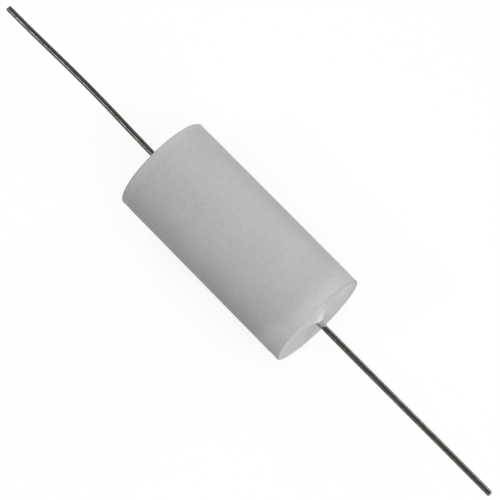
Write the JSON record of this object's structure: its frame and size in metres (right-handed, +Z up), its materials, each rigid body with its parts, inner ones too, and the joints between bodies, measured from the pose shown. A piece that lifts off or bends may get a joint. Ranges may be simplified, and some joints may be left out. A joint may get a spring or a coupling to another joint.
{
  "type": "axial film capacitor",
  "caption": "Plain white tape-wrapped cylinder with resin-filled ends and a straight tinned wire lead out of each end, for soldering to a board or between terminals.",
  "frame": {"origin": "centre of the wrapped body, on its axis", "axes": "+X along the body's axis, out of the right lead; +Z up, with the body lying level"},
  "size_m": [0.0969, 0.0155, 0.0154],
  "materials": {
    "wrap_tape": "satin milky polyester tape",
    "metallised_film": "thin metallised film, wound tight",
    "core_plastic": "moulded, matte",
    "sprayed_zinc": "rough, sprayed",
    "solder": "smooth, set solder",
    "tinned_wire": "dull, drawn and tinned",
    "cast_resin": "smooth, slightly rippled cast resin"
  },
  "bodies": {
    "root": {"tape_wrap": "wrap_tape", "film_winding": "metallised_film", "winding_core": "core_plastic", "end_spray_left": "sprayed_zinc", "end_spray_right": "sprayed_zinc", "solder_left": "solder", "solder_right": "solder", "lead_left": "tinned_wire", "lead_right": "tinned_wire", "end_fill_left": "cast_resin", "end_fill_right": "cast_resin"}
  },
  "joints": []
}
